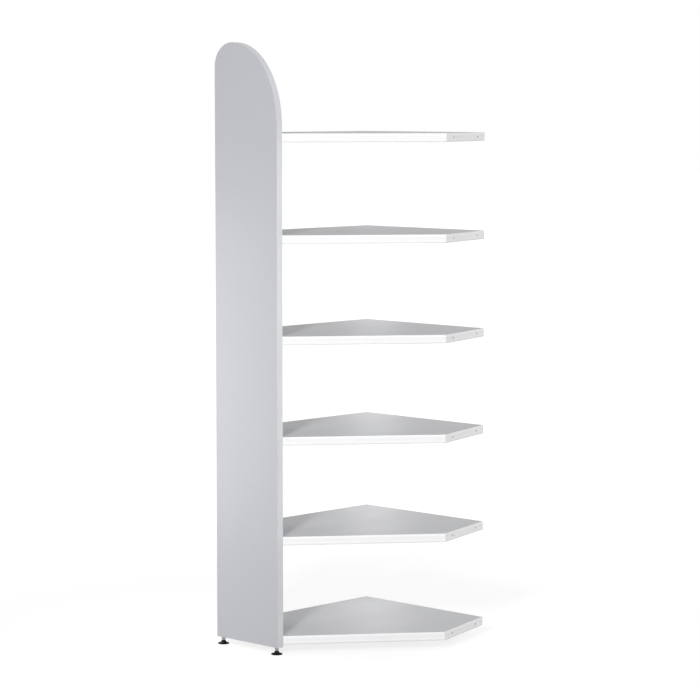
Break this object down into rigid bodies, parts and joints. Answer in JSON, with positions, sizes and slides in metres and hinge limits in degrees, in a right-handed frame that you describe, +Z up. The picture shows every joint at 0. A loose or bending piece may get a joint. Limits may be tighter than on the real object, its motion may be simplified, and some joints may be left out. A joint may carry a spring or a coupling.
{
  "type": "corner shelf unit",
  "caption": "Tall corner bay: a round-topped side panel on levelling feet carries flat five-sided shelves, held by cam locks; the free shelf ends join the next panel.",
  "frame": {"origin": "middle of the unit's box, on the floor", "axes": "+Z up; +X along the room's back wall, from the side panel to the room's corner; -Y out from the back wall into the room"},
  "size_m": [0.7826, 0.671, 2.142],
  "materials": {
    "board": "light grey melamine-faced chipboard, satin",
    "edge_band": "pale grey plastic edge band, 2 mm, satin",
    "zinc": "die-cast zinc, dull",
    "steel": "bright zinc-plated steel",
    "black_plastic": "black moulded plastic, matt"
  },
  "bodies": {
    "carcass": {"side_panel_board": "board", "side_panel_edge_band": "edge_band", "shelf_1_board": "board", "shelf_1_edge_band": "edge_band", "shelf_1_bolt_back": "steel", "shelf_1_bolt_front": "steel", "shelf_2_board": "board", "shelf_2_edge_band": "edge_band", "shelf_2_bolt_back": "steel", "shelf_2_bolt_front": "steel", "shelf_3_board": "board", "shelf_3_edge_band": "edge_band", "shelf_3_bolt_back": "steel", "shelf_3_bolt_front": "steel", "shelf_4_board": "board", "shelf_4_edge_band": "edge_band", "shelf_4_bolt_back": "steel", "shelf_4_bolt_front": "steel", "shelf_5_board": "board", "shelf_5_edge_band": "edge_band", "shelf_5_bolt_back": "steel", "shelf_5_bolt_front": "steel", "shelf_6_board": "board", "shelf_6_edge_band": "edge_band", "shelf_6_bolt_back": "steel", "shelf_6_bolt_front": "steel", "foot_back_insert": "steel", "foot_front_insert": "steel"},
    "shelf_1_cam_panel_back": {"shelf_1_cam_panel_back": "zinc"},
    "shelf_1_cam_panel_front": {"shelf_1_cam_panel_front": "zinc"},
    "shelf_1_cam_free_back": {"shelf_1_cam_free_back": "zinc"},
    "shelf_1_cam_free_front": {"shelf_1_cam_free_front": "zinc"},
    "shelf_2_cam_panel_back": {"shelf_2_cam_panel_back": "zinc"},
    "shelf_2_cam_panel_front": {"shelf_2_cam_panel_front": "zinc"},
    "shelf_2_cam_free_back": {"shelf_2_cam_free_back": "zinc"},
    "shelf_2_cam_free_front": {"shelf_2_cam_free_front": "zinc"},
    "shelf_3_cam_panel_back": {"shelf_3_cam_panel_back": "zinc"},
    "shelf_3_cam_panel_front": {"shelf_3_cam_panel_front": "zinc"},
    "shelf_3_cam_free_back": {"shelf_3_cam_free_back": "zinc"},
    "shelf_3_cam_free_front": {"shelf_3_cam_free_front": "zinc"},
    "shelf_4_cam_panel_back": {"shelf_4_cam_panel_back": "zinc"},
    "shelf_4_cam_panel_front": {"shelf_4_cam_panel_front": "zinc"},
    "shelf_4_cam_free_back": {"shelf_4_cam_free_back": "zinc"},
    "shelf_4_cam_free_front": {"shelf_4_cam_free_front": "zinc"},
    "shelf_5_cam_panel_back": {"shelf_5_cam_panel_back": "zinc"},
    "shelf_5_cam_panel_front": {"shelf_5_cam_panel_front": "zinc"},
    "shelf_5_cam_free_back": {"shelf_5_cam_free_back": "zinc"},
    "shelf_5_cam_free_front": {"shelf_5_cam_free_front": "zinc"},
    "shelf_6_cam_panel_back": {"shelf_6_cam_panel_back": "zinc"},
    "shelf_6_cam_panel_front": {"shelf_6_cam_panel_front": "zinc"},
    "shelf_6_cam_free_back": {"shelf_6_cam_free_back": "zinc"},
    "shelf_6_cam_free_front": {"shelf_6_cam_free_front": "zinc"},
    "foot_back_pad": {"foot_back_pad": "black_plastic"},
    "foot_back_spindle": {"foot_back_spindle": "steel"},
    "foot_front_pad": {"foot_front_pad": "black_plastic"},
    "foot_front_spindle": {"foot_front_spindle": "steel"}
  },
  "joints": [
    {"name": "shelf_1_cam_panel_back_turn", "type": "hinge", "parent": "carcass", "child": "shelf_1_cam_panel_back", "pos_m": [-0.32445, 0.2755, 0.03598], "axis": [0, 0, 1], "range_deg": [-180, 0]},
    {"name": "shelf_1_cam_panel_front_turn", "type": "hinge", "parent": "carcass", "child": "shelf_1_cam_panel_front", "pos_m": [-0.32445, 0.0835, 0.03598], "axis": [0, 0, 1], "range_deg": [-180, 0]},
    {"name": "shelf_1_cam_free_back_turn", "type": "hinge", "parent": "carcass", "child": "shelf_1_cam_free_back", "pos_m": [0.3242, -0.23336, 0.03598], "axis": [0, 0, 1], "range_deg": [0, 180]},
    {"name": "shelf_1_cam_free_front_turn", "type": "hinge", "parent": "carcass", "child": "shelf_1_cam_free_front", "pos_m": [0.13964, -0.28628, 0.03598], "axis": [0, 0, 1], "range_deg": [0, 180]},
    {"name": "shelf_2_cam_panel_back_turn", "type": "hinge", "parent": "carcass", "child": "shelf_2_cam_panel_back", "pos_m": [-0.32445, 0.2755, 0.38798], "axis": [0, 0, 1], "range_deg": [-180, 0]},
    {"name": "shelf_2_cam_panel_front_turn", "type": "hinge", "parent": "carcass", "child": "shelf_2_cam_panel_front", "pos_m": [-0.32445, 0.0835, 0.38798], "axis": [0, 0, 1], "range_deg": [-180, 0]},
    {"name": "shelf_2_cam_free_back_turn", "type": "hinge", "parent": "carcass", "child": "shelf_2_cam_free_back", "pos_m": [0.3242, -0.23336, 0.38798], "axis": [0, 0, 1], "range_deg": [0, 180]},
    {"name": "shelf_2_cam_free_front_turn", "type": "hinge", "parent": "carcass", "child": "shelf_2_cam_free_front", "pos_m": [0.13964, -0.28628, 0.38798], "axis": [0, 0, 1], "range_deg": [0, 180]},
    {"name": "shelf_3_cam_panel_back_turn", "type": "hinge", "parent": "carcass", "child": "shelf_3_cam_panel_back", "pos_m": [-0.32445, 0.2755, 0.73998], "axis": [0, 0, 1], "range_deg": [-180, 0]},
    {"name": "shelf_3_cam_panel_front_turn", "type": "hinge", "parent": "carcass", "child": "shelf_3_cam_panel_front", "pos_m": [-0.32445, 0.0835, 0.73998], "axis": [0, 0, 1], "range_deg": [-180, 0]},
    {"name": "shelf_3_cam_free_back_turn", "type": "hinge", "parent": "carcass", "child": "shelf_3_cam_free_back", "pos_m": [0.3242, -0.23336, 0.73998], "axis": [0, 0, 1], "range_deg": [0, 180]},
    {"name": "shelf_3_cam_free_front_turn", "type": "hinge", "parent": "carcass", "child": "shelf_3_cam_free_front", "pos_m": [0.13964, -0.28628, 0.73998], "axis": [0, 0, 1], "range_deg": [0, 180]},
    {"name": "shelf_4_cam_panel_back_turn", "type": "hinge", "parent": "carcass", "child": "shelf_4_cam_panel_back", "pos_m": [-0.32445, 0.2755, 1.09198], "axis": [0, 0, 1], "range_deg": [-180, 0]},
    {"name": "shelf_4_cam_panel_front_turn", "type": "hinge", "parent": "carcass", "child": "shelf_4_cam_panel_front", "pos_m": [-0.32445, 0.0835, 1.09198], "axis": [0, 0, 1], "range_deg": [-180, 0]},
    {"name": "shelf_4_cam_free_back_turn", "type": "hinge", "parent": "carcass", "child": "shelf_4_cam_free_back", "pos_m": [0.3242, -0.23336, 1.09198], "axis": [0, 0, 1], "range_deg": [0, 180]},
    {"name": "shelf_4_cam_free_front_turn", "type": "hinge", "parent": "carcass", "child": "shelf_4_cam_free_front", "pos_m": [0.13964, -0.28628, 1.09198], "axis": [0, 0, 1], "range_deg": [0, 180]},
    {"name": "shelf_5_cam_panel_back_turn", "type": "hinge", "parent": "carcass", "child": "shelf_5_cam_panel_back", "pos_m": [-0.32445, 0.2755, 1.44398], "axis": [0, 0, 1], "range_deg": [-180, 0]},
    {"name": "shelf_5_cam_panel_front_turn", "type": "hinge", "parent": "carcass", "child": "shelf_5_cam_panel_front", "pos_m": [-0.32445, 0.0835, 1.44398], "axis": [0, 0, 1], "range_deg": [-180, 0]},
    {"name": "shelf_5_cam_free_back_turn", "type": "hinge", "parent": "carcass", "child": "shelf_5_cam_free_back", "pos_m": [0.3242, -0.23336, 1.44398], "axis": [0, 0, 1], "range_deg": [0, 180]},
    {"name": "shelf_5_cam_free_front_turn", "type": "hinge", "parent": "carcass", "child": "shelf_5_cam_free_front", "pos_m": [0.13964, -0.28628, 1.44398], "axis": [0, 0, 1], "range_deg": [0, 180]},
    {"name": "shelf_6_cam_panel_back_turn", "type": "hinge", "parent": "carcass", "child": "shelf_6_cam_panel_back", "pos_m": [-0.32445, 0.2755, 1.79598], "axis": [0, 0, 1], "range_deg": [-180, 0]},
    {"name": "shelf_6_cam_panel_front_turn", "type": "hinge", "parent": "carcass", "child": "shelf_6_cam_panel_front", "pos_m": [-0.32445, 0.0835, 1.79598], "axis": [0, 0, 1], "range_deg": [-180, 0]},
    {"name": "shelf_6_cam_free_back_turn", "type": "hinge", "parent": "carcass", "child": "shelf_6_cam_free_back", "pos_m": [0.3242, -0.23336, 1.79598], "axis": [0, 0, 1], "range_deg": [0, 180]},
    {"name": "shelf_6_cam_free_front_turn", "type": "hinge", "parent": "carcass", "child": "shelf_6_cam_free_front", "pos_m": [0.13964, -0.28628, 1.79598], "axis": [0, 0, 1], "range_deg": [0, 180]},
    {"name": "foot_back_travel", "type": "slide", "parent": "carcass", "child": "foot_back_pad", "axis": [0, 0, -1], "range_m": [0, 0.018]},
    {"name": "foot_back_screw", "type": "hinge", "parent": "foot_back_pad", "child": "foot_back_spindle", "pos_m": [-0.37125, 0.3155, 0.0076], "axis": [0, 0, -1], "range_deg": [0, 5190]},
    {"name": "foot_front_travel", "type": "slide", "parent": "carcass", "child": "foot_front_pad", "axis": [0, 0, -1], "range_m": [0, 0.018]},
    {"name": "foot_front_screw", "type": "hinge", "parent": "foot_front_pad", "child": "foot_front_spindle", "pos_m": [-0.37125, 0.0435, 0.0076], "axis": [0, 0, -1], "range_deg": [0, 5190]}
  ],
  "couplings": [
    {"joint": "foot_back_screw", "follows": "foot_back_travel", "rad_per_m": 5026.5},
    {"joint": "foot_front_screw", "follows": "foot_front_travel", "rad_per_m": 5026.5}
  ]
}
